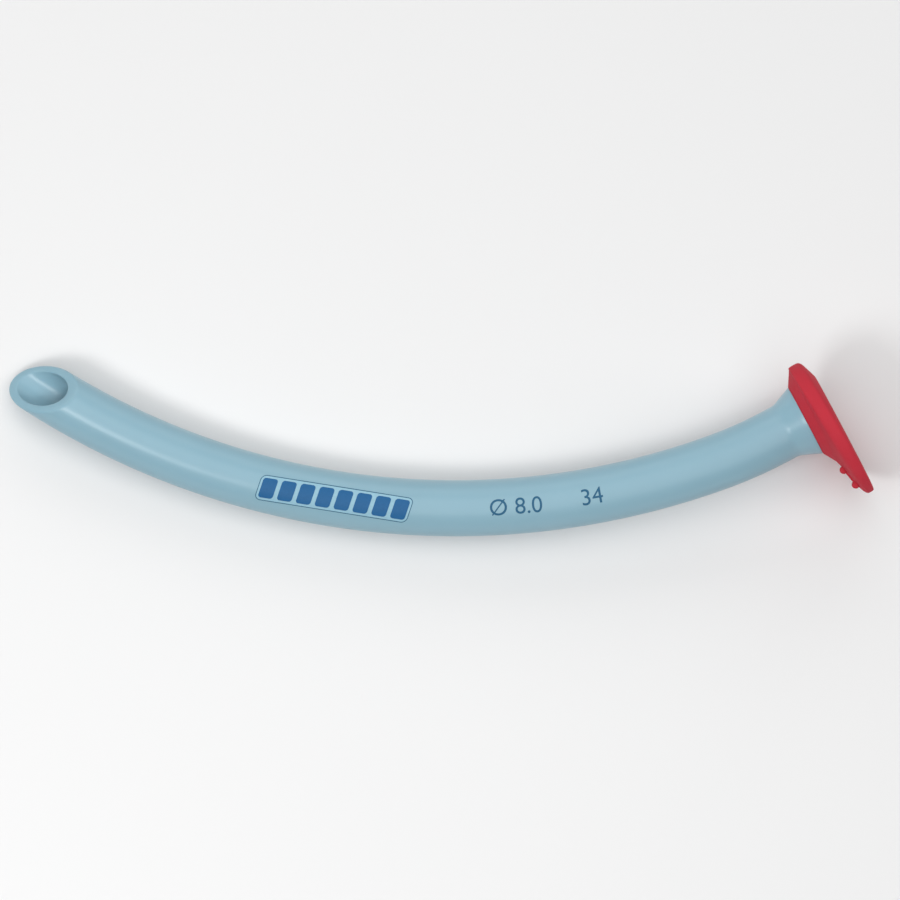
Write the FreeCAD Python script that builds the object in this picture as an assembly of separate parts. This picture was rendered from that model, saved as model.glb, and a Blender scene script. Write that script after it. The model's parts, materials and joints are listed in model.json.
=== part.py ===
"""Nasopharyngeal airway: a soft curved tube with a slanted tip, and an oval flange on its trumpet end.

It is drawn in the plane of its curve, then laid on its side as it comes to rest on a table.
In the drawing the origin is the middle of the flange's front face, X points out of the mouth,
Y points to the hollow side of the curve and Z is square to the curve's plane.
Lengths are millimetres and angles are degrees.
"""

import FreeCAD
import Part
import math
import os

# Tube: its outside diameter is a third of its French size
french_size = 34.0
bore_diameter = 8.0
centreline_length = 167.7
neck_bend_radius = 87.0
neck_bend_length = 12.0
main_bend_radius = 155.5

# Slanted tip: the cut's normal leans from the tube's axis, and is turned from square to the curve
bevel_lean = 49.0
bevel_turn = 21.0
tip_outer_round = 0.75
tip_inner_round = 0.45

# Trumpet end: outside cone, straight tube behind it, shoulder, and the mouth in the spigot
trumpet_diameter = 15.0
trumpet_length = 4.3
trumpet_blend_radius = 4.0
trumpet_runout = 2.8
shoulder_width = 1.0
mouth_wall = 1.0
mouth_depth = 4.6
mouth_edge_round = 0.3

# Flange: oval disc, set towards the outer side of the curve, with a back of two cones
flange_length = 30.0
flange_width = 27.4
flange_offset = 3.95
hub_height = 5.9
cone_inset = 0.55
cone_height = 4.1
flange_edge_height = 2.3
front_bevel_lean = 19.5
front_bevel_short_side = 4.0
front_bevel_long_side = 0.9
back_bevel = 0.4

# Grip nubs on the back of the flange's long side, and the low rails between them
nub_distance = 12.45
nub_spacing = 3.75
nub_diameter = 1.6
nub_length = 9.0
nub_proud = 1.05
rail_diameter = 0.9
rail_proud = 0.3

# Plan view: how far the mouth's axis turns from the row's X axis towards Y
mouth_turn = 28.0

outer_radius = french_size / 3.0 / 2.0
bore_radius = bore_diameter / 2.0
trumpet_radius = trumpet_diameter / 2.0
spigot_radius = trumpet_radius - shoulder_width
mouth_radius = spigot_radius - mouth_wall
flange_reach = flange_offset + flange_length / 2.0
cone_radius = flange_length / 2.0 - flange_offset - cone_inset
front_flat_radius = (flange_length - front_bevel_short_side - front_bevel_long_side) / 2.0
front_flat_offset = flange_reach - front_bevel_long_side - front_flat_radius
straight_end_length = hub_height + trumpet_length + trumpet_runout
main_bend_length = centreline_length - straight_end_length - neck_bend_length
neck_turn = math.degrees(neck_bend_length / neck_bend_radius)
main_turn = math.degrees(main_bend_length / main_bend_radius)

ORIGIN = FreeCAD.Vector(0, 0, 0)
X_AXIS = FreeCAD.Vector(1, 0, 0)
Y_AXIS = FreeCAD.Vector(0, 1, 0)
Z_AXIS = FreeCAD.Vector(0, 0, 1)


def turned(vector, angle):
    """The vector, turned about Z."""
    return FreeCAD.Rotation(Z_AXIS, angle).multVec(vector)


neck_start = X_AXIS * -straight_end_length
neck_middle = neck_start + Y_AXIS * neck_bend_radius
neck_end = neck_middle - turned(Y_AXIS, -neck_turn) * neck_bend_radius
main_middle = neck_end + turned(Y_AXIS, -neck_turn) * main_bend_radius
tip_hollow_side = turned(Y_AXIS, -neck_turn - main_turn)
tip_centre = main_middle - tip_hollow_side * main_bend_radius
tip_direction = turned(X_AXIS * -1, -neck_turn - main_turn)


def profile_point(back, radius):
    """A profile point, so far behind the flange's front face and so far from the mouth's axis."""
    return FreeCAD.Vector(-back, radius, 0)


def turned_profile(edges):
    """The solid that a closed profile sweeps round the mouth's axis."""
    return Part.Face(Part.Wire(edges)).revolve(ORIGIN, X_AXIS, 360.0)


def polyline(points):
    """Straight edges from each point to the next."""
    return [Part.makeLine(start, end) for start, end in zip(points, points[1:])]


def rounded_corner(before, corner, after, radius):
    """The arc that rounds the corner between two neighbours, with its start and its end."""
    towards_before = (before - corner).normalize()
    towards_after = (after - corner).normalize()
    half_angle = towards_before.getAngle(towards_after) / 2.0
    tangent_length = radius / math.tan(half_angle)
    inwards = (towards_before + towards_after).normalize()
    start = corner + towards_before * tangent_length
    middle = corner + inwards * (radius / math.sin(half_angle) - radius)
    end = corner + towards_after * tangent_length
    return start, Part.Arc(start, middle, end).toShape(), end


def edges_on_plane(solid, point, normal):
    """The solid's edges that lie in a plane, longest first."""
    found = []
    for edge in solid.Edges:
        if all(abs((place - point).dot(normal)) < 1e-4 for place in edge.discretize(9)):
            found.append(edge)
    return sorted(found, key=lambda edge: -edge.Length)


def rod(radius, mouth_overrun, tip_overrun):
    """A round rod along the airway's centreline, run on past the mouth and past the tip."""
    straight = Part.makeCylinder(
        radius, straight_end_length + mouth_overrun, neck_start, X_AXIS
    )
    neck_section = Part.Wire(Part.makeCircle(radius, neck_start, X_AXIS))
    neck = Part.Face(neck_section).revolve(neck_middle, Z_AXIS, -neck_turn)
    main_section = Part.Wire(
        Part.makeCircle(radius, neck_end, turned(X_AXIS, -neck_turn))
    )
    overrun_turn = math.degrees(tip_overrun / main_bend_radius)
    main = Part.Face(main_section).revolve(
        main_middle, Z_AXIS, -main_turn - overrun_turn
    )
    return straight.multiFuse([neck, main]).removeSplitter()


def trumpet_outside():
    """Spigot, shoulder and outside cone, and the arc that runs the cone out into the tube."""
    shoulder = profile_point(hub_height, trumpet_radius)
    cone_foot = profile_point(hub_height + trumpet_length, outer_radius)
    on_tube = profile_point(straight_end_length, outer_radius)
    start, blend, end = rounded_corner(
        shoulder, cone_foot, on_tube, trumpet_blend_radius
    )
    to_cone = [
        ORIGIN,
        profile_point(0, spigot_radius),
        profile_point(hub_height, spigot_radius),
        shoulder,
        start,
    ]
    to_axis = [end, on_tube, profile_point(straight_end_length, 0), ORIGIN]
    return turned_profile(polyline(to_cone) + [blend] + polyline(to_axis))


def mouth_funnel():
    """The mouth's flared inside, one arc that leaves the bore's wall smoothly."""
    flare_rise = mouth_radius - bore_radius
    arc_radius = (mouth_depth**2 + flare_rise**2) / (2.0 * flare_rise)
    half_angle = math.asin(mouth_depth / arc_radius) / 2.0
    rim = profile_point(0, mouth_radius)
    halfway = profile_point(
        mouth_depth - arc_radius * math.sin(half_angle),
        bore_radius + arc_radius * (1.0 - math.cos(half_angle)),
    )
    throat = profile_point(mouth_depth, bore_radius)
    flare = Part.Arc(rim, halfway, throat).toShape()
    to_origin = [throat, profile_point(mouth_depth, 0), ORIGIN]
    return turned_profile(polyline([ORIGIN, rim]) + [flare] + polyline(to_origin))


def make_airway_tube():
    """The tube: rod and trumpet less the lumen, cut at a slant, its tip and mouth rounded."""
    slant_run = outer_radius * math.tan(math.radians(bevel_lean))
    past_tip = 1.5 * slant_run
    past_mouth = outer_radius
    outside = rod(outer_radius, 0.0, past_tip).fuse(trumpet_outside())
    lumen = rod(bore_radius, past_mouth, past_tip).fuse(mouth_funnel())
    tube = outside.removeSplitter().cut(lumen.removeSplitter())

    lean = math.radians(bevel_lean)
    turn = math.radians(bevel_turn)
    aside = Z_AXIS * math.cos(turn) + tip_hollow_side * math.sin(turn)
    cut_normal = tip_direction * math.cos(lean) + aside * math.sin(lean)
    cut_reach = 4.0 * slant_run
    tube = tube.cut(Part.makeCylinder(cut_reach, cut_reach, tip_centre, cut_normal))

    wall = outer_radius - bore_radius
    outer_rim = edges_on_plane(tube, tip_centre, cut_normal)[0]
    tube = tube.makeFillet(min(tip_outer_round, 0.45 * wall), [outer_rim])
    inner_rim = edges_on_plane(tube, tip_centre, cut_normal)[-1]
    tube = tube.makeFillet(min(tip_inner_round, 0.3 * wall), [inner_rim])
    mouth_rim = edges_on_plane(tube, ORIGIN, X_AXIS)[-1]
    tube = tube.makeFillet(min(mouth_edge_round, 0.4 * mouth_wall), [mouth_rim])
    return tube.Solids[0]


def back_height(radius):
    """Height of the flange's outer back cone above its front face, at a radius from the axis."""
    slope = (cone_height - flange_edge_height) / (flange_reach - cone_radius)
    return cone_height - slope * (radius - cone_radius)


def flange_outline(back):
    """The flange's oval, so far behind its front face."""
    middle = profile_point(back, -flange_offset)
    long_end = middle - Y_AXIS * (flange_length / 2.0)
    wide_end = middle + Z_AXIS * (flange_width / 2.0)
    oval = Part.Ellipse(long_end, wide_end, middle)
    return Part.Wire([oval.toShape(0, math.pi), oval.toShape(math.pi, 2.0 * math.pi)])


def back_rim_edges(solid):
    """The edges where the flange's back meets its oval side."""
    found = []
    for edge in solid.Edges:
        places = edge.discretize(5)
        along = [(place.y + flange_offset) / (flange_length / 2.0) for place in places]
        across = [place.z / (flange_width / 2.0) for place in places]
        on_oval = all(abs(a * a + c * c - 1.0) < 1e-4 for a, c in zip(along, across))
        runs_round = max(along) - min(along) > 1e-3
        behind_face = max(place.x for place in places) < -flange_edge_height / 2.0
        if on_oval and runs_round and behind_face:
            found.append(edge)
    return found


def flange_disc():
    """The flange's round disc with its two back cones, wider than the oval that trims it."""
    disc_radius = flange_reach + flange_edge_height
    corners = [
        ORIGIN,
        profile_point(0, disc_radius),
        profile_point(back_height(disc_radius), disc_radius),
        profile_point(cone_height, cone_radius),
        profile_point(hub_height, trumpet_radius),
        profile_point(hub_height, 0),
        ORIGIN,
    ]
    return turned_profile(polyline(corners))


def bevel_depth(distance):
    """How far behind the front face the front bevel lies, so far from the flat's middle."""
    return (distance - front_flat_radius) * math.tan(math.radians(front_bevel_lean))


def front_bevel_tool():
    """A disc whose front leaves a round flat and a bevel, wider at the flange's short side."""
    rim_radius = flange_length
    corners = [
        ORIGIN,
        profile_point(0, front_flat_radius),
        profile_point(bevel_depth(rim_radius), rim_radius),
        profile_point(2.0 * flange_length, rim_radius),
        profile_point(2.0 * flange_length, 0),
        ORIGIN,
    ]
    tool = turned_profile(polyline(corners))
    tool.translate(Y_AXIS * -front_flat_offset)
    return tool


def bevelled_bar(start, end, diameter):
    """A round bar between two points, with a bevel around each end."""
    radius = diameter / 2.0
    bevel = radius / 2.0
    run = end - start
    corners = [
        ORIGIN,
        FreeCAD.Vector(radius - bevel, 0, 0),
        FreeCAD.Vector(radius, 0, bevel),
        FreeCAD.Vector(radius, 0, run.Length - bevel),
        FreeCAD.Vector(radius - bevel, 0, run.Length),
        FreeCAD.Vector(0, 0, run.Length),
        ORIGIN,
    ]
    bar = Part.Face(Part.Wire(polyline(corners))).revolve(ORIGIN, Z_AXIS, 360.0)
    bar.Placement = FreeCAD.Placement(start, FreeCAD.Rotation(Z_AXIS, run))
    return bar


def above_back(distance, side, rise):
    """A point above the flange's back, out along its long side and off to one side."""
    height = back_height(math.hypot(distance, side)) + rise
    return FreeCAD.Vector(-height, -distance, side)


def grip_bars():
    """Two nubs across the back of the long side, and a low rail at each of their ends."""
    distances = (nub_distance, nub_distance + nub_spacing)
    nub_rise = nub_proud - nub_diameter / 2.0
    rail_rise = rail_proud - rail_diameter / 2.0
    nub_sides = (-nub_length / 2.0, nub_length / 2.0)
    rail_side = (nub_length - nub_diameter) / 2.0
    bars = []
    for distance in distances:
        ends = [above_back(distance, side, nub_rise) for side in nub_sides]
        bars.append(bevelled_bar(ends[0], ends[1], nub_diameter))
    for side in (-rail_side, rail_side):
        ends = [above_back(distance, side, rail_rise) for distance in distances]
        bars.append(bevelled_bar(ends[0], ends[1], rail_diameter))
    return bars


def make_flange():
    """The flange: a coned disc trimmed to its oval, bevelled, bored for the spigot, with nubs."""
    trim = Part.Face(flange_outline(0.0)).extrude(X_AXIS * -2.0 * hub_height)
    flange = flange_disc().common(trim).Solids[0]
    bevel = min(back_bevel, 0.75 * cone_inset)
    flange = flange.makeChamfer(bevel, back_rim_edges(flange))
    flange = flange.common(front_bevel_tool())
    spigot = Part.makeCylinder(spigot_radius, hub_height, ORIGIN, X_AXIS * -1)
    return flange.cut(spigot).multiFuse(grip_bars()).removeSplitter().Solids[0]


def bend(start, middle, angle):
    """The centreline's arc from a point, round the middle of a bend."""
    halfway = middle + turned(start - middle, -angle / 2.0)
    end = middle + turned(start - middle, -angle)
    return Part.Arc(start, halfway, end).toShape()


def lean(roll, pitch):
    """The turn from the drawing's axes to the row's, with a roll about X and a pitch about Y."""
    in_plan = FreeCAD.Rotation(Z_AXIS, mouth_turn)
    return FreeCAD.Rotation(0.0, pitch, roll) * in_plan


def least(measure, low, high, step):
    """The place between two limits where a measure with one valley is least."""
    while high - low > step:
        third = (high - low) / 3.0
        if measure(low + third) < measure(high - third):
            high = high - third
        else:
            low = low + third
    return (low + high) / 2.0


def lying_turn(solids):
    """The turn that lays the airway on its side, where its centre of mass is lowest.

    It touches the table at two places only, the flange's rim and the tube's outer side,
    and rocks on them until the centre of mass is above the line between the two.
    """
    volume = sum(solid.Volume for solid in solids)
    centre = ORIGIN
    for solid in solids:
        centre = centre + solid.CenterOfGravity * (solid.Volume / volume)
    centreline = [
        Part.makeLine(ORIGIN, neck_start),
        bend(neck_start, neck_middle, neck_turn),
        bend(neck_end, main_middle, main_turn),
    ]
    tube_places = [place for edge in centreline for place in edge.discretize(80)]
    half_width = flange_width / 2.0
    rim_front = bevel_depth(math.hypot(front_flat_offset - flange_offset, half_width))
    rim_back = back_height(math.hypot(flange_offset, half_width)) - back_bevel
    rim_places = flange_outline(rim_front).discretize(240)
    rim_places += flange_outline(rim_back).discretize(240)

    def height(roll, pitch):
        up = lean(roll, pitch).inverted().multVec(Z_AXIS)
        tube_lowest = min(place.dot(up) for place in tube_places) - outer_radius
        rim_lowest = min(place.dot(up) for place in rim_places)
        return centre.dot(up) - min(tube_lowest, rim_lowest)

    def best_pitch(roll):
        return least(lambda pitch: height(roll, pitch), -40.0, 40.0, 0.01)

    roll = least(lambda angle: height(angle, best_pitch(angle)), -40.0, 40.0, 0.01)
    return lean(roll, best_pitch(roll))


def main():
    """Makes both pieces, lays them down with the origin under their middle, and saves them."""
    pieces = {"airway_tube": make_airway_tube(), "flange": make_flange()}
    turn = lying_turn(list(pieces.values()))
    whole = Part.makeCompound(list(pieces.values()))
    whole.Placement = FreeCAD.Placement(ORIGIN, turn)
    box = whole.optimalBoundingBox(False)
    shift = FreeCAD.Vector(-box.Center.x, -box.Center.y, -box.ZMin)
    os.makedirs("parts", exist_ok=True)
    for name, solid in pieces.items():
        solid.Placement = FreeCAD.Placement(shift, turn)
        solid.exportStep("parts/" + name + ".step")


main()
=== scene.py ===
"""Nasopharyngeal airway: a soft blue tube with a slanted tip, and a red oval flange.

Every piece is modelled in the plane of the tube's curve, and then laid down with the CAD part.
There the origin is the middle of the flange's front face, X points out of the mouth,
Y points to the hollow side of the curve, and Z is square to the curve's plane.
"""

import json
import math
from collections import namedtuple

import bmesh
import bpy
from mathutils import Matrix, Vector


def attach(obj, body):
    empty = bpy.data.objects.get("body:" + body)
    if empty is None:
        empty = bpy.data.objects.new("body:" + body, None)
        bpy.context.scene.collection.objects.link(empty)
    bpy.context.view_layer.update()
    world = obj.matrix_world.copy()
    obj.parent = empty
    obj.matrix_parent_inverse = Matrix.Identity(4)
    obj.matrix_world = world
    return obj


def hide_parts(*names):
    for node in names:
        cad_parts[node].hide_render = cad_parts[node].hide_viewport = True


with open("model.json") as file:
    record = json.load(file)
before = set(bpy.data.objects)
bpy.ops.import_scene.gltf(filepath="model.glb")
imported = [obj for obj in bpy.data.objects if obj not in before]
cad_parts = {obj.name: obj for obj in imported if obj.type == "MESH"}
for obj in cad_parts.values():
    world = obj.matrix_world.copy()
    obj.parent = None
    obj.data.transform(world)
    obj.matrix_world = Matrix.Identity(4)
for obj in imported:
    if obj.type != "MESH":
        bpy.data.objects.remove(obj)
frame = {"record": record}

bl_info = {
    "name": "Nasopharyngeal airway",
    "version": (1, 0, 0),
    "blender": (4, 5, 0),
    "location": "3D View > Sidebar > Airway",
    "description": "Models a soft nasal airway tube with its flange and its printed size",
    "category": "Object",
}

MM = 0.001
X_AXIS = Vector((1, 0, 0))
Y_AXIS = Vector((0, 1, 0))
Z_AXIS = Vector((0, 0, 1))
ORIGIN = Vector((0, 0, 0))

# Points round each ring of the tube and the flange, steps along the tube's bent body,
# and steps of the mouth's flare and of the trumpet's blend into the tube
RING_POINTS = 128
BODY_RINGS = 64
FLARE_STEPS = 10
BLEND_STEPS = 8

# Points closer than this are merged
MERGE = 0.003 * MM

# How far a ring, the end of a bar and the heel of the bent tip may lie off their places
RING_TOLERANCE = 0.01 * MM
END_TOLERANCE = 0.02 * MM
TIP_TOLERANCE = 0.6 * MM

# How far back from the tip's middle the slant's own rings reach, in runs of the slant,
# and the part of the mouth's depth that is flared
SLANT_REACH = 1.35
FLARE_SHARE = 0.9

# Rounding at the ends of a grip bar, as a share of its diameter
BAR_END_ROUND = 0.46

# Edges sharper than this stay sharp to the eye
SMOOTH_ANGLE = math.radians(40.0)

# Fields that printed art is cut into, along and across the tube
FIELD_ALONG = 0.9 * MM
FIELD_ACROSS = 0.3 * MM

# Softboxes, in metres: their place right of, above and in front of the picture's middle,
# and their width and height
FRONT_BOX = ((0.0, 0.12, 1.3), (2.0, 1.7))
TOP_BOX = ((-0.2, 1.05, 0.38), (1.9, 0.6))
STREAK_BOX = ((-0.22, -0.15, 0.48), (0.17, 0.12))
SIDE_BOX = ((1.0, 0.2, 0.3), (0.5, 0.4))

SENSOR_MM = 36.0
WHITE = (1.0, 1.0, 1.0, 1.0)


def linear(hex_colour):
    """A hex sRGB colour as the linear numbers that a shader takes."""
    shares = [int(hex_colour[i : i + 2], 16) / 255.0 for i in (0, 2, 4)]
    return [s / 12.92 if s <= 0.04045 else ((s + 0.055) / 1.055) ** 2.4 for s in shares]


def size_property(name, description, size_mm):
    """A length that a user may change, given in millimetres."""
    return bpy.props.FloatProperty(
        name=name,
        description=description,
        default=size_mm * MM,
        min=0.0,
        precision=5,
        unit="LENGTH",
    )


def share_property(name, description, share):
    """A share between none and all that a user may change."""
    return bpy.props.FloatProperty(
        name=name,
        description=description,
        default=share,
        min=0.0,
        max=1.0,
        subtype="FACTOR",
    )


def angle_property(name, description, degrees):
    """An angle that a user may change, given in degrees."""
    return bpy.props.FloatProperty(
        name=name,
        description=description,
        default=math.radians(degrees),
        subtype="ANGLE",
    )


def colour_property(name, description, hex_colour):
    """A colour that a user may change, given as hex sRGB."""
    return bpy.props.FloatVectorProperty(
        name=name,
        description=description,
        default=linear(hex_colour),
        min=0.0,
        max=1.0,
        size=3,
        subtype="COLOR",
    )


class TubeSettings(bpy.types.PropertyGroup):
    """Sizes and colour of the tube."""

    outside: size_property("Outside", "Outside diameter of the tube", 34.0 / 3.0)
    bore: size_property("Bore", "Inside diameter of the tube", 8.0)
    length: size_property("Length", "Length along the centreline", 167.7)
    neck_radius: size_property("Neck radius", "Radius of the neck's bend", 87.0)
    neck_length: size_property("Neck length", "Length of the neck's bend", 12.0)
    main_radius: size_property("Main radius", "Radius of the long bend", 155.5)
    bevel_lean: angle_property("Tip lean", "Lean of the slanted tip", 49.0)
    bevel_turn: angle_property("Tip turn", "Turn of the slant about the tube", 21.0)
    tip_wall_round: size_property("Tip wall round", "Outer rounding's reach up the wall", 0.95)
    tip_wall_lean: size_property("Tip wall lean", "How much more of it is at the toe", 0.55)
    tip_face_round: size_property("Tip face round", "Outer rounding's reach across the rim", 0.92)
    tip_face_lean: size_property("Tip face lean", "How much more of it is at the toe", 0.25)
    tip_bore_face_round: size_property("Tip bore face", "Inner rounding's reach on the rim", 0.5)
    tip_bore_face_lean: size_property("Tip bore face lean", "How much more is at the heel", 0.15)
    tip_bore_round: size_property("Tip bore round", "Inner rounding's reach down the bore", 0.5)
    tip_bore_lean: size_property("Tip bore lean", "How much more of it is at the heel", 0.3)
    trumpet: size_property("Trumpet", "Diameter at the trumpet's wide end", 15.0)
    trumpet_length: size_property("Trumpet length", "Length of the trumpet's cone", 4.3)
    trumpet_blend: size_property("Trumpet blend", "Radius between cone and tube", 4.0)
    trumpet_runout: size_property("Trumpet run-out", "Straight tube past the cone", 2.8)
    shoulder: size_property("Shoulder", "Width of the shoulder at the flange", 1.0)
    mouth_wall: size_property("Mouth wall", "Wall left at the mouth's rim", 1.0)
    mouth_depth: size_property("Mouth depth", "Depth of the flared mouth", 4.6)
    mouth_round: size_property("Mouth round", "Rounding of the mouth's rim", 0.35)
    seam_round: size_property("Seam round", "Rounding at the seam with the flange", 0.12)
    colour: colour_property("Tube colour", "Colour of the soft tube", "8db2c1")


class FlangeSettings(bpy.types.PropertyGroup):
    """Sizes and colour of the flange."""

    length: size_property("Length", "Long axis of the oval", 30.0)
    width: size_property("Width", "Short axis of the oval", 27.4)
    offset: size_property("Offset", "Oval's middle from the mouth's axis", 3.95)
    hub_height: size_property("Hub height", "Height of the back at the tube", 5.9)
    cone_inset: size_property("Cone inset", "Steep cone's foot inside the rim", 0.55)
    cone_height: size_property("Cone height", "Height of the steep cone's foot", 4.1)
    edge_height: size_property("Edge height", "Height of the back at the far rim", 2.3)
    bevel_lean: angle_property("Front lean", "Lean of the front's bevel", 19.5)
    short_bevel: size_property("Short bevel", "Front bevel at the short side", 4.0)
    long_bevel: size_property("Long bevel", "Front bevel at the long side", 0.9)
    seam_round: size_property("Seam round", "Rounding at the seam with the tube", 0.2)
    cone_blend: share_property("Cone blend", "Part of the steep cone that is rounded off", 0.16)
    back_blend: share_property("Back blend", "Part of the flat cone that is rounded off", 0.25)
    rim_blend: share_property("Rim blend", "Where on the flat cone the rim's rounding starts", 0.6)
    side_blend: share_property("Side blend", "Part of the side that is rounded off behind", 0.5)
    front_blend: share_property("Front blend", "Part of the side that is rounded in front", 0.35)
    bevel_blend: share_property("Bevel blend", "Part of the front bevel that is rounded", 0.28)
    flat_blend: share_property("Flat blend", "Part of the front's flat that is domed", 0.45)
    flat_start: share_property("Flat start", "Where on the front bevel that dome starts", 0.35)
    nub_distance: size_property("Nub distance", "First nub from the axis", 12.45)
    nub_spacing: size_property("Nub spacing", "Second nub from the first", 3.75)
    nub_diameter: size_property("Nub diameter", "Diameter of a nub", 1.6)
    nub_length: size_property("Nub length", "Length of a nub", 9.0)
    nub_proud: size_property("Nub height", "Height of a nub above the back", 1.05)
    rail_diameter: size_property("Rail diameter", "Diameter of a rail", 0.9)
    rail_proud: size_property("Rail height", "Height of a rail above the back", 0.3)
    colour: colour_property("Flange colour", "Colour of the flange", "c03643")


class PrintSettings(bpy.types.PropertyGroup):
    """Sizes and colours of the plain print on the tube."""

    bars_station: size_property("Bars station", "Middle of the bars, from the mouth", 104.1)
    bar_count: bpy.props.IntProperty(name="Bars", description="Number of bars", default=8, min=1)
    bar_pitch: size_property("Bar pitch", "Distance from bar to bar", 3.85)
    bar_width: size_property("Bar width", "Width of a bar", 3.0)
    bar_height: size_property("Bar height", "Height of a bar", 4.1)
    bar_slant: size_property("Bar slant", "How far a bar's top leans over", 0.7)
    bar_round: size_property("Bar round", "Rounding of a bar's corners", 0.6)
    keyline: size_property("Keyline", "Width of the light line round the bars", 0.42)
    outline: size_property("Outline", "Width of the dark line round the keyline", 0.16)
    bore_station: size_property("Bore station", "Middle of the bore's number", 67.3)
    gauge_station: size_property("Gauge station", "Middle of the gauge number", 51.8)
    figure_height: size_property("Figure height", "Height of the printed numbers", 3.3)
    ink_film: size_property("Ink film", "How far each layer of ink stands proud", 0.015)
    bar_colour: colour_property("Bar colour", "Ink of the bars", "246092")
    keyline_colour: colour_property("Keyline colour", "Ink of the keyline", "93bccd")
    outline_colour: colour_property("Outline colour", "Ink of the outline", "33617d")
    figure_colour: colour_property("Figure colour", "Ink of the numbers", "2c6080")


class StageSettings(bpy.types.PropertyGroup):
    """The floor, the lights and the camera."""

    view_turn: angle_property("View turn", "Turn of the picture about the view", 28.02)
    view_width: size_property("View width", "What the picture is wide", 181.63)
    view_distance: size_property("View distance", "From camera to tube", 6000.0)
    view_right: size_property("View right", "Flange's place right of the middle", 76.93)
    view_up: size_property("View up", "Flange's place above the middle", 8.72)
    floor_size: size_property("Floor size", "Width of the floor", 6000.0)
    floor_colour: colour_property("Floor colour", "Colour of the floor", "e9e9e9")
    backdrop: share_property("Backdrop", "How pale the room behind the floor looks", 0.8)
    room_light: share_property("Room light", "Even light from all round", 0.08)
    front_light: share_property("Front light", "Broad soft light from the front", 1.0)
    top_light: share_property("Top light", "Soft light from the hollow side", 0.38)
    streak_light: share_property("Streak light", "Small light that draws the highlight", 0.32)
    side_light: share_property("Side light", "Weak light from the flange's front side", 0.16)


class AirwaySettings(bpy.types.PropertyGroup):
    """All that a user may change."""

    tube: bpy.props.PointerProperty(type=TubeSettings, name="Tube")
    flange: bpy.props.PointerProperty(type=FlangeSettings, name="Flange")
    ink: bpy.props.PointerProperty(type=PrintSettings, name="Print")
    stage: bpy.props.PointerProperty(type=StageSettings, name="Stage")


def laid_down():
    """The matrix from the curve's plane to the row's frame, from the record's mounts."""
    mounts = {mount["name"]: mount for mount in frame["record"]["mounts"]}
    tube = bpy.context.scene.airway.tube
    outwards = Vector(mounts["airway_bore"]["axis"]).normalized()
    bore_middle = Vector(mounts["airway_bore"]["pos_m"])
    face_middle = bore_middle + outwards * (tube.mouth_depth + straight_end()) / 2.0
    hollow = face_middle - Vector(mounts["flange_face"]["pos_m"])
    hollow = (hollow - outwards * hollow.dot(outwards)).normalized()
    square = outwards.cross(hollow)
    matrix = Matrix((outwards, hollow, square)).transposed().to_4x4()
    return Matrix.Translation(face_middle) @ matrix


def straight_end():
    """Length of the straight end behind the flange's front face."""
    airway = bpy.context.scene.airway
    tube = airway.tube
    return airway.flange.hub_height + tube.trumpet_length + tube.trumpet_runout


def bends():
    """The two bends, from the mouth to the tip, each as its start, its middle and its angle."""
    tube = bpy.context.scene.airway.tube
    neck_turn = tube.neck_length / tube.neck_radius
    main_length = tube.length - straight_end() - tube.neck_length
    neck_start = X_AXIS * -straight_end()
    neck_middle = neck_start + Y_AXIS * tube.neck_radius
    towards_middle = Matrix.Rotation(-neck_turn, 3, "Z") @ Y_AXIS
    neck_end = neck_middle - towards_middle * tube.neck_radius
    main_middle = neck_end + towards_middle * tube.main_radius
    return (
        (neck_start, neck_middle, neck_turn),
        (neck_end, main_middle, main_length / tube.main_radius),
    )


def centreline(station):
    """A place on the centreline, the way to the mouth and the hollow side, at a length from it."""
    tube = bpy.context.scene.airway.tube
    neck, main = bends()
    along = station - straight_end()
    if along <= tube.neck_length:
        turn = max(along, 0.0) / tube.neck_radius
        start, middle = neck[0] + X_AXIS * max(-along, 0.0), neck[1]
        place = middle + Matrix.Rotation(-turn, 3, "Z") @ (start - middle)
    else:
        angle = (along - tube.neck_length) / tube.main_radius
        turn = neck[2] + angle
        start, middle = main[0], main[1]
        place = middle + Matrix.Rotation(-angle, 3, "Z") @ (start - middle)
    turned = Matrix.Rotation(-turn, 3, "Z")
    return place, turned @ X_AXIS, turned @ Y_AXIS


def frame_matrix(place, local_x, local_y):
    """A matrix that moves local axes to a place, with X and Y as given."""
    local_z = local_x.cross(local_y)
    matrix = Matrix((local_x, local_y, local_z)).transposed().to_4x4()
    return Matrix.Translation(place) @ matrix


def choose(obj):
    """Makes one object the only selected one, in object mode."""
    if bpy.context.object and bpy.context.object.mode != "OBJECT":
        bpy.ops.object.mode_set(mode="OBJECT")
    bpy.ops.object.select_all(action="DESELECT")
    obj.select_set(True)
    bpy.context.view_layer.objects.active = obj
    return obj


def place_mesh(obj, matrix):
    """Moves an object by a matrix and puts its place into its mesh."""
    choose(obj)
    obj.matrix_world = matrix @ obj.matrix_world
    bpy.ops.object.transform_apply(location=True, rotation=True, scale=True)


def edit(obj):
    """Opens one object in edit mode with all its points selected."""
    choose(obj)
    bpy.ops.object.mode_set(mode="EDIT")
    bpy.ops.mesh.select_mode(type="VERT")
    bpy.ops.mesh.select_all(action="SELECT")


def done():
    """Leaves edit mode."""
    bpy.ops.object.mode_set(mode="OBJECT")


def pick(obj, test):
    """Selects the points that pass a test."""
    bpy.ops.mesh.select_mode(type="VERT")
    bpy.ops.mesh.select_all(action="DESELECT")
    mesh = bmesh.from_edit_mesh(obj.data)
    chosen = [point for point in mesh.verts if test(point.co)]
    for point in chosen:
        point.select_set(True)
    bmesh.update_edit_mesh(obj.data)
    if not chosen:
        raise RuntimeError(f"no point of {obj.name} passes the test")


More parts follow.
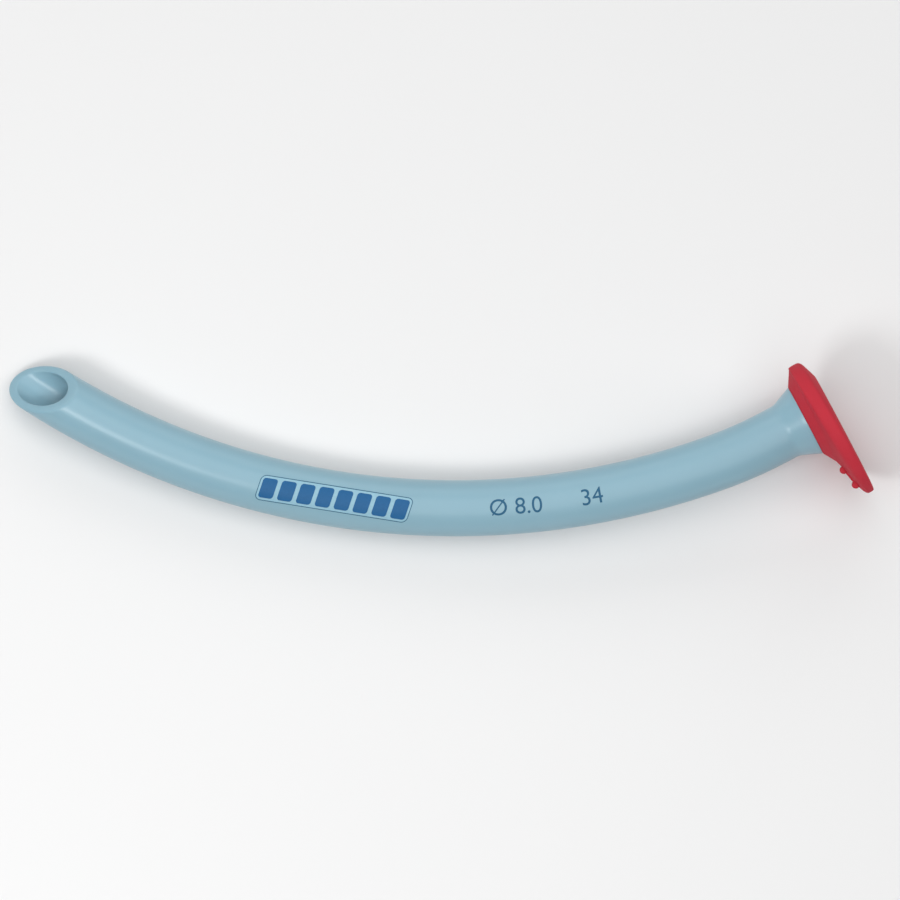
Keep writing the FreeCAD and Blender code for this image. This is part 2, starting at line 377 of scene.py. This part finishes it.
def pick_rings(obj, *tests):
    """Selects the edges whose two ends both pass one of the tests."""
    bpy.ops.mesh.select_mode(type="EDGE")
    bpy.ops.mesh.select_all(action="DESELECT")
    mesh = bmesh.from_edit_mesh(obj.data)
    count = 0
    for line in mesh.edges:
        if any(all(test(point.co) for point in line.verts) for test in tests):
            line.select_set(True)
            count += 1
    bmesh.update_edit_mesh(obj.data)
    if not count:
        raise RuntimeError(f"no edge of {obj.name} passes the tests")


def bevel_picked(width, segments):
    """Rounds the selected edges."""
    bpy.ops.mesh.bevel(
        offset=width, offset_type="OFFSET", segments=segments, profile=0.5, affect="EDGES"
    )


def selected_places(obj):
    """The places of the selected points."""
    mesh = bmesh.from_edit_mesh(obj.data)
    return [point.co.copy() for point in mesh.verts if point.select]


# An oval ring about the local Z axis: its middle along Y, its half widths along X and Y,
# its height along Z, and how much higher its Y-most point lies than its middle
Oval = namedtuple("Oval", "middle across along height rise")


def circle(radius, height):
    """A level round ring about the Z axis."""
    return Oval(0.0, radius, radius, height, 0.0)


def mixed(first, second, share):
    """The oval at a share of the way from one oval to another."""
    return Oval(*[a + (b - a) * share for a, b in zip(first, second)])


def rounded(before, corner, after, steps=6):
    """The ovals that round a corner off, from the one before it to the one after it."""
    shares = [step / steps for step in range(steps + 1)]
    return [mixed(mixed(before, corner, t), mixed(corner, after, t), t) for t in shares]


def between(first, second, steps):
    """Evenly spaced ovals between two others, without the two."""
    return [mixed(first, second, step / steps) for step in range(1, steps)]


def start_ring(name, radius, height):
    """A new object that is one level round ring, opened in edit mode."""
    bpy.ops.object.select_all(action="DESELECT")
    bpy.ops.mesh.primitive_circle_add(vertices=RING_POINTS, radius=radius)
    obj = bpy.context.object
    obj.name = name
    place_mesh(obj, Matrix.Translation(Z_AXIS * height))
    edit(obj)
    return obj


def extrude_oval(obj, last, oval):
    """Extrudes the selected ring, and gives it the next oval's place, widths and tilt."""
    move = (0.0, oval.middle - last.middle, oval.height - last.height)
    pivot = (0.0, oval.middle, oval.height)
    bpy.ops.mesh.extrude_edges_move(TRANSFORM_OT_translate={"value": move})
    scale_across = oval.across / last.across
    scale_along = math.hypot(oval.along, oval.rise) / math.hypot(last.along, last.rise)
    level = math.atan2(last.rise, last.along)
    tilt = math.atan2(oval.rise, oval.along)
    if abs(level) > 1e-6:
        bpy.ops.transform.rotate(value=level, orient_axis="X", center_override=pivot)
    scale = (scale_across, scale_along, 1.0)
    bpy.ops.transform.resize(value=scale, center_override=pivot)
    if abs(tilt) > 1e-6:
        bpy.ops.transform.rotate(value=-tilt, orient_axis="X", center_override=pivot)
    foremost = max(selected_places(obj), key=lambda place: place.y)
    wanted = Vector((0.0, oval.middle + oval.along, oval.height + oval.rise))
    if (foremost - wanted).length > RING_TOLERANCE:
        raise RuntimeError(f"a ring of {obj.name} lies wrongly: {foremost} {wanted}")


def ring_skin(name, ovals):
    """A new object whose open skin runs through a list of ovals, the first one round."""
    skin = start_ring(name, ovals[0].across, ovals[0].height)
    for last, oval in zip(ovals, ovals[1:]):
        extrude_oval(skin, last, oval)
    done()
    return skin


def joined(pieces):
    """Joins several skins into the first one and merges the rings that they share."""
    choose(pieces[0])
    for piece in pieces[1:]:
        piece.select_set(True)
    bpy.ops.object.join()
    close_up(pieces[0])
    return pieces[0]


def close_up(obj):
    """Merges doubles and turns every face outwards."""
    edit(obj)
    bpy.ops.mesh.remove_doubles(threshold=MERGE)
    bpy.ops.mesh.normals_make_consistent(inside=False)
    done()


def smooth(obj):
    """Shades a piece smooth, except at its sharp edges."""
    choose(obj)
    bpy.ops.object.shade_smooth_by_angle(angle=SMOOTH_ANGLE)


def lay_down(obj, name):
    """Lays a finished piece down with the CAD part, and names it and its mesh."""
    place_mesh(obj, laid_down())
    obj.name = name
    obj.data.name = name
    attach(obj, "root")


def near(value, wanted):
    """Whether two lengths are the same but for rounding."""
    return abs(value - wanted) < END_TOLERANCE


def add_node(tree, kind, inputs=None, **settings):
    """Adds a shader node, with its settings and its inputs as numbers, colours or links."""
    node = tree.nodes.new(kind)
    for key, value in settings.items():
        setattr(node, key, value)
    for key, value in (inputs or {}).items():
        if isinstance(value, bpy.types.NodeSocket):
            tree.links.new(value, node.inputs[key])
        else:
            node.inputs[key].default_value = value
    return node


def new_material(name):
    """An empty node material, with its tree and its output."""
    material = bpy.data.materials.new(name)
    material.use_nodes = True
    material.node_tree.nodes.clear()
    tree = material.node_tree
    output = add_node(tree, "ShaderNodeOutputMaterial")
    return material, tree, output


def shade_of(colour, share):
    """A colour made darker or lighter by a share, with its alpha."""
    return [min(1.0, part * share) for part in colour] + [1.0]


def mottled(tree, colour, spread, place, feature):
    """A colour that drifts a little darker and lighter over features of a real size."""
    drift = add_node(
        tree,
        "ShaderNodeTexNoise",
        {"Vector": place, "Scale": 1.0 / feature, "Detail": 3.0, "Roughness": 0.5},
    )
    mix = add_node(
        tree,
        "ShaderNodeMix",
        {"Factor": drift.outputs["Fac"]},
        data_type="RGBA",
    )
    mix.inputs[6].default_value = shade_of(colour, 1.0 - spread)
    mix.inputs[7].default_value = shade_of(colour, 1.0 + spread)
    return mix.outputs[2]


def soft_pvc_satin(colour):
    """Plasticised PVC, extruded and heat-formed: satin, a little translucent, faint waves."""
    material, tree, output = new_material("soft_pvc_satin_blue")
    place = add_node(tree, "ShaderNodeTexCoord").outputs["Object"]
    tint = mottled(tree, colour, 0.03, place, 14.0 * MM)
    haze = add_node(
        tree,
        "ShaderNodeTexNoise",
        {"Vector": place, "Scale": 1.0 / (5.0 * MM), "Detail": 4.0},
    )
    gloss = add_node(
        tree,
        "ShaderNodeMapRange",
        {"Value": haze.outputs["Fac"], "To Min": 0.28, "To Max": 0.32},
    )
    waves = add_node(
        tree,
        "ShaderNodeTexNoise",
        {"Vector": place, "Scale": 1.0 / (7.0 * MM), "Detail": 1.0},
    )
    grain = add_node(
        tree,
        "ShaderNodeTexNoise",
        {"Vector": place, "Scale": 1.0 / (0.35 * MM), "Detail": 2.0},
    )
    wave_bump = add_node(
        tree,
        "ShaderNodeBump",
        {"Height": waves.outputs["Fac"], "Strength": 0.12, "Distance": 0.08 * MM},
    )
    bump = add_node(
        tree,
        "ShaderNodeBump",
        {
            "Height": grain.outputs["Fac"],
            "Strength": 0.25,
            "Distance": 0.01 * MM,
            "Normal": wave_bump.outputs["Normal"],
        },
    )
    shader = add_node(
        tree,
        "ShaderNodeBsdfPrincipled",
        {
            "Base Color": tint,
            "Roughness": gloss.outputs["Result"],
            "Normal": bump.outputs["Normal"],
            "IOR": 1.53,
            "Specular IOR Level": 0.3,
            "Subsurface Weight": 0.15,
            "Subsurface Radius": (0.8, 1.0, 1.2),
            "Subsurface Scale": 1.0 * MM,
        },
    )
    tree.links.new(shader.outputs["BSDF"], output.inputs["Surface"])
    return material


def soft_pvc_matte(colour):
    """Plasticised PVC, injection moulded in a fine blasted mould: matte, even, full colour."""
    material, tree, output = new_material("soft_pvc_matte_red")
    place = add_node(tree, "ShaderNodeTexCoord").outputs["Object"]
    tint = mottled(tree, colour, 0.05, place, 4.0 * MM)
    grain = add_node(
        tree,
        "ShaderNodeTexNoise",
        {"Vector": place, "Scale": 1.0 / (0.3 * MM), "Detail": 3.0},
    )
    gloss = add_node(
        tree,
        "ShaderNodeMapRange",
        {"Value": grain.outputs["Fac"], "To Min": 0.55, "To Max": 0.68},
    )
    bump = add_node(
        tree,
        "ShaderNodeBump",
        {"Height": grain.outputs["Fac"], "Strength": 0.4, "Distance": 0.03 * MM},
    )
    shader = add_node(
        tree,
        "ShaderNodeBsdfPrincipled",
        {
            "Base Color": tint,
            "Roughness": gloss.outputs["Result"],
            "Normal": bump.outputs["Normal"],
            "IOR": 1.53,
            "Specular IOR Level": 0.04,
            "Subsurface Weight": 0.12,
            "Subsurface Radius": (1.2, 0.4, 0.3),
            "Subsurface Scale": 0.8 * MM,
        },
    )
    tree.links.new(shader.outputs["BSDF"], output.inputs["Surface"])
    return material


def pad_ink(name, colour):
    """Pad-printed vinyl ink: a thin even film, a little duller than the tube, faintly uneven."""
    material, tree, output = new_material(name)
    place = add_node(tree, "ShaderNodeTexCoord").outputs["Object"]
    tint = mottled(tree, colour, 0.10, place, 0.5 * MM)
    shader = add_node(
        tree,
        "ShaderNodeBsdfPrincipled",
        {"Base Color": tint, "Roughness": 0.5, "IOR": 1.5, "Specular IOR Level": 0.2},
    )
    tree.links.new(shader.outputs["BSDF"], output.inputs["Surface"])
    return material


def floor_paper(colour):
    """Matte studio paper: pale, even, with a faint tooth."""
    material, tree, output = new_material("studio_paper")
    place = add_node(tree, "ShaderNodeTexCoord").outputs["Object"]
    tint = mottled(tree, colour, 0.005, place, 60.0 * MM)
    shader = add_node(
        tree,
        "ShaderNodeBsdfPrincipled",
        {"Base Color": tint, "Roughness": 0.9, "Specular IOR Level": 0.2},
    )
    tree.links.new(shader.outputs["BSDF"], output.inputs["Surface"])
    return material


def studio_room(stage):
    """The room round the floor: it looks as pale as the backdrop, and lights only a little."""
    world = bpy.data.worlds.new("studio_room")
    world.use_nodes = True
    tree = world.node_tree
    tree.nodes.clear()
    fill = add_node(tree, "ShaderNodeBackground", {"Color": WHITE, "Strength": stage.room_light})
    pale = add_node(tree, "ShaderNodeBackground", {"Color": WHITE, "Strength": stage.backdrop})
    seen = add_node(tree, "ShaderNodeLightPath").outputs["Is Camera Ray"]
    room = add_node(tree, "ShaderNodeMixShader", {"Fac": seen})
    tree.links.new(fill.outputs["Background"], room.inputs[1])
    tree.links.new(pale.outputs["Background"], room.inputs[2])
    output = add_node(tree, "ShaderNodeOutputWorld")
    tree.links.new(room.outputs["Shader"], output.inputs["Surface"])
    return world


def towards_viewer(tube, hollow):
    """The direction across the tube that the slanted tip's opening is turned to."""
    return Z_AXIS * math.cos(tube.bevel_turn) + hollow * math.sin(tube.bevel_turn)


def slant_run(tube):
    """How far back from the tip's middle the whole round of the tube ends."""
    return SLANT_REACH * tube.outside / 2.0 * math.tan(tube.bevel_lean)


def trumpet_ovals(tube, hub):
    """The trumpet end, from the bore out through the mouth and back along the outside."""
    radius = tube.outside / 2.0
    bore = tube.bore / 2.0
    wide = tube.trumpet / 2.0
    spigot = wide - tube.shoulder
    mouth = spigot - tube.mouth_wall
    flare = (tube.mouth_depth**2 + (mouth - bore) ** 2) / (2.0 * (mouth - bore))

    ovals = [circle(bore, straight_end())]
    for step in range(FLARE_STEPS + 1):
        height = tube.mouth_depth * (1.0 - FLARE_SHARE * step / FLARE_STEPS)
        sink = math.sqrt(flare**2 - (tube.mouth_depth - height) ** 2)
        ovals.append(circle(bore + flare - sink, height))
    ovals += rounded(ovals[-1], circle(mouth, 0.0), circle(mouth + tube.mouth_round, 0.0))
    seam = tube.seam_round
    ovals += rounded(circle(spigot - seam, 0.0), circle(spigot, 0.0), circle(spigot, seam), 3)
    ovals += [circle(spigot, hub), circle(wide - seam, hub)]

    foot = hub + tube.trumpet_length
    slope = math.atan2(wide - radius, tube.trumpet_length)
    tangent = tube.trumpet_blend * math.tan(slope / 2.0)
    arc_start = foot - tangent * math.cos(slope)
    edge = circle(wide, hub)
    blend = circle(wide - (arc_start - hub) * math.tan(slope), arc_start)
    ovals += rounded(ovals[-1], edge, mixed(edge, blend, seam / tube.trumpet_length), 3)
    ovals += between(ovals[-1], blend, 4)
    for step in range(BLEND_STEPS + 1):
        turn = slope * (1.0 - step / BLEND_STEPS)
        height = foot + tangent - tube.trumpet_blend * math.sin(turn)
        ovals.append(circle(radius + tube.trumpet_blend * (1.0 - math.cos(turn)), height))
    ovals.append(circle(radius, straight_end()))
    return ovals


def tip_ovals(tube):
    """The slanted tip, from the outside over the rounded rim and into the bore.

    The rim is rounded off more at its sharp edges: outside at the toe, and inside at the heel.
    """
    radius = tube.outside / 2.0
    bore = tube.bore / 2.0
    lean = math.tan(tube.bevel_lean)
    level_end = tube.length - slant_run(tube)

    def slanted(radius, shift=0.0, back=0.0, more=0.0):
        """An oval in the cut: shifted to the heel, or further back, and more so at the toe."""
        height = tube.length - shift * lean - back
        return Oval(shift, radius, radius, height, more - radius * lean)

    outside = circle(radius, level_end)
    wall_end = slanted(radius, back=tube.tip_wall_round, more=tube.tip_wall_lean)
    face_start = slanted(radius - tube.tip_face_round, tube.tip_face_lean)
    face_end = slanted(bore + tube.tip_bore_face_round, tube.tip_bore_face_lean)
    bore_start = slanted(bore, back=tube.tip_bore_round, more=-tube.tip_bore_lean)
    inside = circle(bore, level_end)

    ovals = [outside] + between(outside, wall_end, 12)
    ovals += rounded(wall_end, slanted(radius), face_start, 8)
    ovals += between(face_start, face_end, 2)
    ovals += rounded(face_end, slanted(bore), bore_start, 7)
    ovals += between(bore_start, inside, 12) + [inside]
    return ovals


def check_tip(obj, tube):
    """Checks that the bent tube's tip lies where the centreline ends, towards the viewer."""
    place, to_mouth, hollow = centreline(tube.length)
    heel = place + towards_viewer(tube, hollow) * tube.outside / 2.0
    heel += to_mouth * tube.outside / 2.0 * math.tan(tube.bevel_lean)
    nearest = min((point.co - heel).length for point in obj.data.vertices)
    if nearest > TIP_TOLERANCE:
        raise RuntimeError(f"the tip's heel lies {nearest / MM:.2f} mm off its place")


def tube_route(tube):
    """The centreline as a curve that a straight tube can be bent along, run on past the tip.

    It starts at the origin along X and turns towards -Y, so it is the real one turned half round.
    """
    bpy.ops.object.select_all(action="DESELECT")
    bpy.ops.curve.primitive_bezier_curve_add()
    route = bpy.context.object
    route.data.dimensions = "3D"
    route.data.resolution_u = 64
    route.data.twist_mode = "Z_UP"
    route.data.use_deform_bounds = False

    end = straight_end()
    neck_end = end + tube.neck_length
    main_step = (tube.length + 2.0 * tube.outside - neck_end) / 5.0
    stations = [0.0, end, neck_end] + [neck_end + main_step * step for step in range(1, 6)]
    spline = route.data.splines[0]
    spline.bezier_points.add(len(stations) - 2)
    neck_turn, main_turn = tube.neck_length / tube.neck_radius, main_step / tube.main_radius
    neck_reach = 4.0 / 3.0 * math.tan(neck_turn / 4.0) * tube.neck_radius
    main_reach = 4.0 / 3.0 * math.tan(main_turn / 4.0) * tube.main_radius
    reaches = [end / 3.0, neck_reach] + [main_reach] * 5
    half_round = Matrix.Rotation(math.pi, 3, "Z")
    for index, (point, station) in enumerate(zip(spline.bezier_points, stations)):
        place, to_mouth, _ = centreline(station)
        ahead = half_round @ to_mouth * -1.0
        point.handle_left_type = point.handle_right_type = "FREE"
        point.co = half_round @ place
        point.handle_left = point.co - ahead * reaches[max(index - 1, 0)]
        point.handle_right = point.co + ahead * reaches[min(index, len(reaches) - 1)]
    return route


def bend_tube(obj, tube):
    """Bends a straight tube, which runs back from the flange's face along Z, to its real shape."""
    aside = Vector((0.0, -math.sin(tube.bevel_turn), math.cos(tube.bevel_turn)))
    place_mesh(obj, frame_matrix(ORIGIN, aside.cross(X_AXIS), aside))
    route = tube_route(tube)
    choose(obj)
    bend = obj.modifiers.new("bend", "CURVE")
    bend.object = route
    bend.deform_axis = "POS_X"
    bpy.ops.object.modifier_apply(modifier=bend.name)
    bpy.data.objects.remove(route)
    place_mesh(obj, Matrix.Rotation(math.pi, 4, "Z"))


class AIRWAY_OT_tube(bpy.types.Operator):
    """Model the soft tube: trumpet end, curved body, through bore and slanted rounded tip"""

    bl_idname = "airway.add_tube"
    bl_label = "Add tube"

    def execute(self, context):
        airway = context.scene.airway
        tube = airway.tube
        ovals = trumpet_ovals(tube, airway.flange.hub_height)
        tip = tip_ovals(tube)
        ovals += between(ovals[-1], tip[0], BODY_RINGS) + tip
        ovals += between(tip[-1], ovals[0], BODY_RINGS) + [ovals[0]]
        whole = ring_skin("tube_skin", ovals)
        close_up(whole)
        bend_tube(whole, tube)
        check_tip(whole, tube)
        smooth(whole)
        whole.data.materials.append(soft_pvc_satin(tube.colour))
        lay_down(whole, "soft_tube")
        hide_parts("airway_tube")
        return {"FINISHED"}


def back_height(flange, radius):
    """Height of the flange's outer back above its front face, at a radius from the axis."""
    reach = flange.offset + flange.length / 2.0
    cone = flange.length / 2.0 - flange.offset - flange.cone_inset
    slope = (flange.cone_height - flange.edge_height) / (reach - cone)
    return flange.cone_height - slope * (radius - cone)


def grip_bar(name, start, end, diameter):
    """A round bar between two points, its ends rounded."""
    run = end - start
    bpy.ops.object.select_all(action="DESELECT")
    bpy.ops.mesh.primitive_cylinder_add(vertices=32, radius=diameter / 2.0, depth=run.length)
    bar = bpy.context.object
    bar.name = name
    edit(bar)
    half = run.length / 2.0
    pick_rings(bar, lambda p: near(p.z, half), lambda p: near(p.z, -half))
    bevel_picked(BAR_END_ROUND * diameter, 6)
    done()
    turn = Z_AXIS.rotation_difference(run).to_matrix().to_4x4()
    place_mesh(bar, Matrix.Translation((start + end) / 2.0) @ turn)
    return bar


def above_back(flange, distance, side, rise):
    """A point above the flange's back, out along its long side and off to one side."""
    height = back_height(flange, math.hypot(distance, side)) + rise
    return Vector((-height, -distance, side))


def grip_bars(flange):
    """Two nubs across the back of the long side, and a low rail at each of their ends."""
    distances = (flange.nub_distance, flange.nub_distance + flange.nub_spacing)
    nub_rise = flange.nub_proud - flange.nub_diameter / 2.0
    rail_rise = flange.rail_proud - flange.rail_diameter / 2.0
    half = flange.nub_length / 2.0
    rail_side = (flange.nub_length - flange.nub_diameter) / 2.0
    bars = []
    for distance in distances:
        ends = [above_back(flange, distance, side, nub_rise) for side in (-half, half)]
        bars.append(grip_bar("nub", ends[0], ends[1], flange.nub_diameter))
    for side in (-rail_side, rail_side):
        ends = [above_back(flange, distance, side, rail_rise) for distance in distances]
        bars.append(grip_bar("rail", ends[0], ends[1], flange.rail_diameter))
    return bars


def flange_ovals(airway):
    """The flange's section, from the hub over both cones and the rim to the front and the hole."""
    flange = airway.flange
    hole = airway.tube.trumpet / 2.0 - airway.tube.shoulder
    hub = airway.tube.trumpet / 2.0
    half = flange.length / 2.0
    wide = flange.width / 2.0
    low, high = [back_height(flange, half + side * flange.offset) for side in (1, -1)]
    back = Oval(-flange.offset, wide, half, (low + high) / 2.0, (high - low) / 2.0)
    low, high = [b * math.tan(flange.bevel_lean) for b in (flange.long_bevel, flange.short_bevel)]
    front = Oval(-flange.offset, wide, half, (low + high) / 2.0, (high - low) / 2.0)
    flat_radius = (flange.length - flange.short_bevel - flange.long_bevel) / 2.0
    flat_middle = flat_radius + flange.long_bevel - flange.offset - half
    flat = Oval(flat_middle, flat_radius, flat_radius, 0.0, 0.0)

    hub_top = circle(hub, flange.hub_height)
    cone = circle(half - flange.offset - flange.cone_inset, flange.cone_height)
    seam = flange.seam_round
    seam_share = seam / (hub_top.height - cone.height)
    hole_top = circle(hole, flange.hub_height)
    hole_front = circle(hole, 0.0)
    ovals = [hole_top]
    hub_edge = circle(hub - seam, flange.hub_height)
    ovals += rounded(hub_edge, hub_top, mixed(hub_top, cone, seam_share), 3)
    foot = mixed(hub_top, cone, 1.0 - flange.cone_blend)
    ovals += between(ovals[-1], foot, 3)
    ovals += rounded(foot, cone, mixed(cone, back, flange.back_blend), 7)
    ovals += between(ovals[-1], mixed(cone, back, flange.rim_blend), 3)
    side_start = mixed(back, front, flange.side_blend)
    ovals += rounded(mixed(cone, back, flange.rim_blend), back, side_start, 8)
    side_end = mixed(back, front, 1.0 - flange.front_blend)
    ovals += rounded(side_end, front, mixed(front, flat, flange.bevel_blend), 6)
    dome_end = mixed(flat, hole_front, flange.flat_blend)
    ovals += rounded(mixed(front, flat, flange.flat_start), flat, dome_end, 10)
    ovals += between(dome_end, circle(hole + seam, 0.0), 4)
    ovals += rounded(circle(hole + seam, 0.0), hole_front, circle(hole, seam), 3)
    ovals.append(hole_top)
    return ovals


class AIRWAY_OT_flange(bpy.types.Operator):
    """Model the off-centre oval flange: two-cone back, bevelled front, grip nubs and rails"""

    bl_idname = "airway.add_flange"
    bl_label = "Add flange"

    def execute(self, context):
        airway = context.scene.airway
        flange = airway.flange
        plate = ring_skin("flange_plate", flange_ovals(airway))
        place_mesh(plate, frame_matrix(ORIGIN, Z_AXIS, Y_AXIS))
        plate = joined([plate] + grip_bars(flange))
        smooth(plate)
        plate.data.materials.append(soft_pvc_matte(flange.colour))
        lay_down(plate, "oval_flange")
        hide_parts("flange")
        return {"FINISHED"}


def slanted_panel(name, width, height, slant, corner):
    """A flat panel round the origin, its top leaning over and its corners rounded."""
    bpy.ops.object.select_all(action="DESELECT")
    bpy.ops.mesh.primitive_plane_add(size=1.0)
    panel = bpy.context.object
    panel.name = name
    edit(panel)
    bpy.ops.transform.resize(value=(width, height, 1.0), center_override=ORIGIN)
    for side in (-1.0, 1.0):
        pick(panel, lambda place: place.y * side > 0.0)
        bpy.ops.transform.translate(value=(slant / 2.0 * side, 0.0, 0.0))
    bpy.ops.mesh.select_all(action="SELECT")
    bpy.ops.mesh.bevel(offset=corner, segments=6, affect="VERTICES")
    done()
    return panel


def repeat_along(obj, count, pitch):
    """Repeats a flat piece along X in its own mesh, with the row's middle at the origin."""
    edit(obj)
    for _ in range(count - 1):
        bpy.ops.mesh.duplicate_move(TRANSFORM_OT_translate={"value": (pitch, 0.0, 0.0)})
    bpy.ops.mesh.select_all(action="SELECT")
    bpy.ops.transform.translate(value=(-pitch * (count - 1) / 2.0, 0.0, 0.0))
    done()


def figures(name, body, height):
    """Printed figures of a given height as a flat mesh round the origin."""
    bpy.ops.object.select_all(action="DESELECT")
    bpy.ops.object.text_add()
    text = bpy.context.object
    text.name = name
    text.data.body = body
    text.data.size = height
    bpy.ops.object.convert(target="MESH")
    places = [point.co for point in text.data.vertices]
    low = Vector([min(place[axis] for place in places) for axis in range(3)])
    high = Vector([max(place[axis] for place in places) for axis in range(3)])
    scale = height / (high.y - low.y)
    centred = Matrix.Scale(scale, 4) @ Matrix.Translation((low + high) / -2.0)
    place_mesh(text, centred)
    return text


def sliced(obj, step_x, step_y):
    """Cuts a flat piece into small fields, so that it can follow the round tube."""
    edit(obj)
    for axis, direction, step in ((0, X_AXIS, step_x), (1, Y_AXIS, step_y)):
        reach = max(abs(point.co[axis]) for point in bmesh.from_edit_mesh(obj.data).verts)
        count = int(reach / step)
        for index in range(-count, count + 1):
            bpy.ops.mesh.select_all(action="SELECT")
            bpy.ops.mesh.bisect(plane_co=direction * (step * index), plane_no=direction)
    done()


def print_on_tube(art, station, layers, material):
    """Projects flat art onto the tube at a station, as a thin closed film of ink."""
    ink = bpy.context.scene.airway.ink
    sliced(art, FIELD_ALONG, FIELD_ACROSS)
    place, to_mouth, hollow = centreline(station)
    above = place + Z_AXIS * bpy.context.scene.airway.tube.outside
    art.matrix_world = laid_down() @ frame_matrix(above, to_mouth, hollow)
    choose(art)
    wrap = art.modifiers.new("wrap", "SHRINKWRAP")
    wrap.target = bpy.data.objects["soft_tube"]
    wrap.wrap_method = "PROJECT"
    wrap.use_project_z = True
    wrap.use_positive_direction = False
    wrap.use_negative_direction = True
    wrap.offset = ink.ink_film * layers
    film = art.modifiers.new("film", "SOLIDIFY")
    film.thickness = ink.ink_film * (layers + 1.0)
    film.offset = -1.0
    bpy.ops.object.modifier_apply(modifier=wrap.name)
    bpy.ops.object.modifier_apply(modifier=film.name)
    bpy.ops.object.transform_apply(location=True, rotation=True, scale=True)
    smooth(art)
    art.data.materials.append(material)
    art.data.name = art.name
    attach(art, "root")


class AIRWAY_OT_print(bpy.types.Operator):
    """Print plain slanted bars on the tube, and its bore and gauge as plain numbers"""

    bl_idname = "airway.add_print"
    bl_label = "Add print"

    def execute(self, context):
        ink = context.scene.airway.ink
        row = ink.bar_pitch * (ink.bar_count - 1) + ink.bar_width
        layers = (
            ("print_outline", ink.keyline + ink.outline, 1, ink.outline_colour),
            ("print_keyline", ink.keyline, 2, ink.keyline_colour),
        )
        for name, border, layer, colour in layers:
            width, height = row + 2.0 * border, ink.bar_height + 2.0 * border
            slant = ink.bar_slant * height / ink.bar_height
            band = slanted_panel(name, width, height, slant, ink.bar_round + border)
            print_on_tube(band, ink.bars_station, layer, pad_ink("ink_" + name, colour))
        bars = slanted_panel(
            "print_bars", ink.bar_width, ink.bar_height, ink.bar_slant, ink.bar_round
        )
        repeat_along(bars, ink.bar_count, ink.bar_pitch)
        print_on_tube(bars, ink.bars_station, 3, pad_ink("ink_print_bars", ink.bar_colour))
        figure_ink = pad_ink("ink_print_figures", ink.figure_colour)
        for name, body, station in (
            ("print_bore", "\u00d8 8.0", ink.bore_station),
            ("print_gauge", "34", ink.gauge_station),
        ):
            art = figures(name, body, ink.figure_height)
            print_on_tube(art, station, 1, figure_ink)
        return {"FINISHED"}


def picture_frame(stage):
    """The picture's middle, with its right, its up and the way back to the camera as axes."""
    plane = laid_down()
    axes = plane.to_3x3()
    turn = Matrix.Rotation(-stage.view_turn, 3, "Z")
    right = axes @ (turn @ X_AXIS)
    up = axes @ (turn @ Y_AXIS)
    middle = plane.translation - right * stage.view_right - up * stage.view_up
    return frame_matrix(middle, right, up)


def add_camera(picture, stage):
    """A camera square to the tube's curve, far off, so that it sees the outline unfalsified."""
    data = bpy.data.cameras.new("camera")
    data.sensor_width = SENSOR_MM
    data.lens = SENSOR_MM * stage.view_distance / stage.view_width
    data.clip_end = 3.0 * stage.view_distance
    camera = bpy.data.objects.new("camera", data)
    bpy.context.scene.collection.objects.link(camera)
    camera.matrix_world = picture @ Matrix.Translation(Z_AXIS * stage.view_distance)
    bpy.context.scene.camera = camera


def add_floor(stage):
    """The paper that the airway lies on."""
    bpy.ops.object.select_all(action="DESELECT")
    bpy.ops.mesh.primitive_plane_add(size=stage.floor_size)
    floor = bpy.context.object
    floor.name = "floor"
    floor.data.materials.append(floor_paper(stage.floor_colour))


def add_softbox(picture, name, box, share):
    """A softbox that faces the airway. Its share is of the light that makes white paper white."""
    place, size = box
    offset = picture.to_3x3() @ Vector(place)
    data = bpy.data.lights.new(name, "AREA")
    data.shape = "RECTANGLE"
    data.size, data.size_y = size
    data.energy = share * math.pi**2 * offset.length_squared
    lamp = bpy.data.objects.new(name, data)
    bpy.context.scene.collection.objects.link(lamp)
    facing = offset.to_track_quat("Z", "Y").to_matrix().to_4x4()
    lamp.matrix_world = Matrix.Translation(picture.translation + offset) @ facing


class AIRWAY_OT_stage(bpy.types.Operator):
    """Set up the pale floor, the soft lights and the camera square to the tube's curve"""

    bl_idname = "airway.add_stage"
    bl_label = "Add stage"

    def execute(self, context):
        stage = context.scene.airway.stage
        picture = picture_frame(stage)
        add_camera(picture, stage)
        add_floor(stage)
        context.scene.world = studio_room(stage)
        context.scene.view_settings.view_transform = "Standard"
        add_softbox(picture, "front_light", FRONT_BOX, stage.front_light)
        add_softbox(picture, "top_light", TOP_BOX, stage.top_light)
        add_softbox(picture, "streak_light", STREAK_BOX, stage.streak_light)
        add_softbox(picture, "side_light", SIDE_BOX, stage.side_light)
        return {"FINISHED"}


class AIRWAY_PT_sidebar(bpy.types.Panel):
    """Lists the pieces of the airway in the sidebar"""

    bl_idname = "AIRWAY_PT_sidebar"
    bl_label = "Airway"
    bl_space_type = "VIEW_3D"
    bl_region_type = "UI"
    bl_category = "Airway"

    def draw(self, context):
        for piece in PIECES:
            self.layout.operator(piece.bl_idname)


PIECES = (AIRWAY_OT_tube, AIRWAY_OT_flange, AIRWAY_OT_print, AIRWAY_OT_stage)
SETTINGS = (TubeSettings, FlangeSettings, PrintSettings, StageSettings, AirwaySettings)


def register():
    """Registers the settings, the operators and the panel."""
    for cls in (*SETTINGS, *PIECES, AIRWAY_PT_sidebar):
        bpy.utils.register_class(cls)
    bpy.types.Scene.airway = bpy.props.PointerProperty(type=AirwaySettings)


def unregister():
    """Takes the settings, the operators and the panel out again."""
    del bpy.types.Scene.airway
    for cls in reversed((*SETTINGS, *PIECES, AIRWAY_PT_sidebar)):
        bpy.utils.unregister_class(cls)


def main():
    """Registers the add-on, then models the airway and its stage."""
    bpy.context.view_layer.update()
    register()
    bpy.ops.airway.add_tube()
    bpy.ops.airway.add_flange()
    bpy.ops.airway.add_print()
    bpy.ops.airway.add_stage()
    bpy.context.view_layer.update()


if __name__ == "__main__":
    main()
